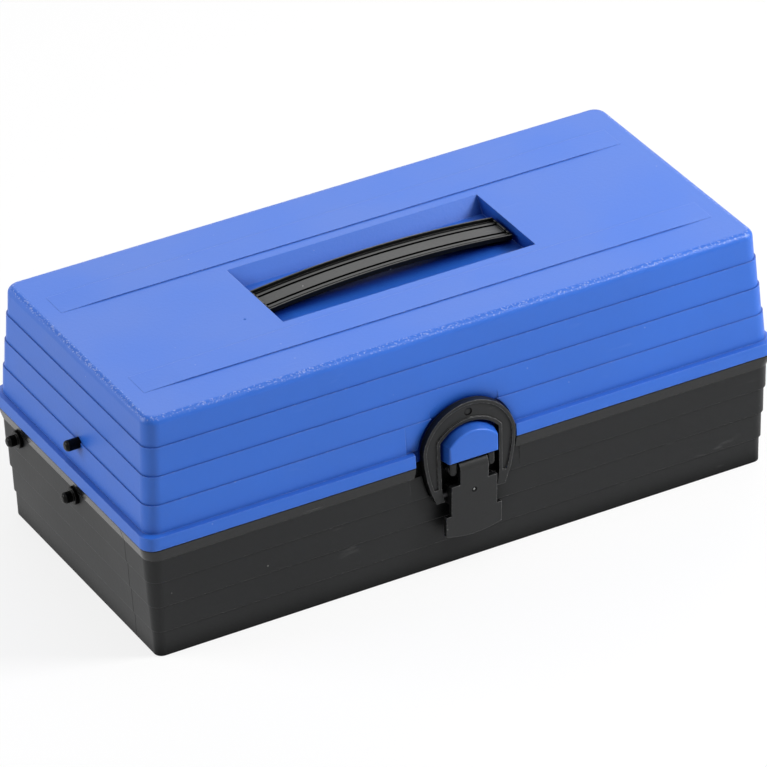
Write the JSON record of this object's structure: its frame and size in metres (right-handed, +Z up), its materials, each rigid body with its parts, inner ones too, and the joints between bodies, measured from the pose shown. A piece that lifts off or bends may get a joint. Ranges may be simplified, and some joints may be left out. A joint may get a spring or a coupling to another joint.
{
  "type": "tackle box",
  "caption": "Small rectangular tackle box: stepped base, hinged lid, tray that rises on arms as the lid opens, pop-up handle in a recess and an over-centre front latch.",
  "frame": {"origin": "middle of the footprint, on the plane of the base's flat underside", "axes": "+X along the box, -Y towards the latch, +Z up"},
  "size_m": [0.3286, 0.1625, 0.1206],
  "materials": {
    "base_plastic": "satin moulded, fine grain",
    "lid_plastic": "satin moulded, fine pebble grain",
    "handle_plastic": "satin moulded",
    "latch_plastic": "satin moulded",
    "stud_plastic": "glossy moulded",
    "arm_plastic": "satin moulded",
    "tray_plastic": "satin moulded",
    "pin_steel": "drawn wire"
  },
  "bodies": {
    "base": {"base_shell": "base_plastic", "base_pivot_studs": "stud_plastic", "latch_pin": "pin_steel", "hinge_pin_left": "pin_steel", "hinge_pin_right": "pin_steel"},
    "lid": {"lid_shell": "lid_plastic", "lid_pivot_studs": "stud_plastic"},
    "handle": {"carry_handle": "handle_plastic", "handle_stop_clips": "handle_plastic"},
    "lever": {"latch_lever": "latch_plastic", "loop_pivot_pins": "pin_steel"},
    "loop": {"latch_loop": "latch_plastic"},
    "rear_arms": {"rear_arm_left": "arm_plastic", "rear_arm_right": "arm_plastic", "link_rivets": "stud_plastic"},
    "front_arms": {"front_arm_left": "arm_plastic", "front_arm_right": "arm_plastic"},
    "links": {"lid_link_left": "arm_plastic", "lid_link_right": "arm_plastic"},
    "tray": {"tray": "tray_plastic", "tray_pivot_studs": "stud_plastic", "tray_divider_left": "tray_plastic", "tray_divider_middle": "tray_plastic", "tray_divider_right": "tray_plastic"}
  },
  "joints": [
    {"name": "lid_hinge", "type": "hinge", "parent": "base", "child": "lid", "pos_m": [0, 0.079, 0.05825], "axis": [-1, 0, 0], "range_deg": [0, 100]},
    {"name": "rear_arms_swing", "type": "hinge", "parent": "base", "child": "rear_arms", "pos_m": [0, 0.053, 0.0488], "axis": [-1, 0, 0], "range_deg": [0, 100]},
    {"name": "front_arms_swing", "type": "hinge", "parent": "base", "child": "front_arms", "pos_m": [0, -0.0022, 0.0488], "axis": [-1, 0, 0], "range_deg": [0, 100]},
    {"name": "tray_level", "type": "hinge", "parent": "rear_arms", "child": "tray", "pos_m": [0, 0.00426, 0.05994], "axis": [-1, 0, 0], "range_deg": [-100, 0]},
    {"name": "lid_links_swing", "type": "hinge", "parent": "lid", "child": "links", "pos_m": [0, -0.0065, 0.0778], "axis": [-1, 0, 0], "range_deg": [-100, 0]},
    {"name": "latch_lever_lift", "type": "hinge", "parent": "base", "child": "lever", "pos_m": [0, -0.0762, 0.0526], "axis": [-1, 0, 0], "range_deg": [0, 100]},
    {"name": "latch_loop_swing", "type": "hinge", "parent": "lever", "child": "loop", "pos_m": [0, -0.0748, 0.0394], "axis": [-1, 0, 0], "range_deg": [-100, 0]},
    {"name": "handle_lift", "type": "slide", "parent": "lid", "child": "handle", "axis": [0, 0, 1], "range_m": [0, 0.02]}
  ],
  "couplings": [
    {"joint": "rear_arms_swing", "follows": "lid_hinge", "ratio": 1},
    {"joint": "front_arms_swing", "follows": "lid_hinge", "ratio": 1},
    {"joint": "tray_level", "follows": "lid_hinge", "ratio": -1},
    {"joint": "lid_links_swing", "follows": "lid_hinge", "ratio": -1},
    {"joint": "latch_loop_swing", "follows": "latch_lever_lift", "ratio": -1}
  ]
}
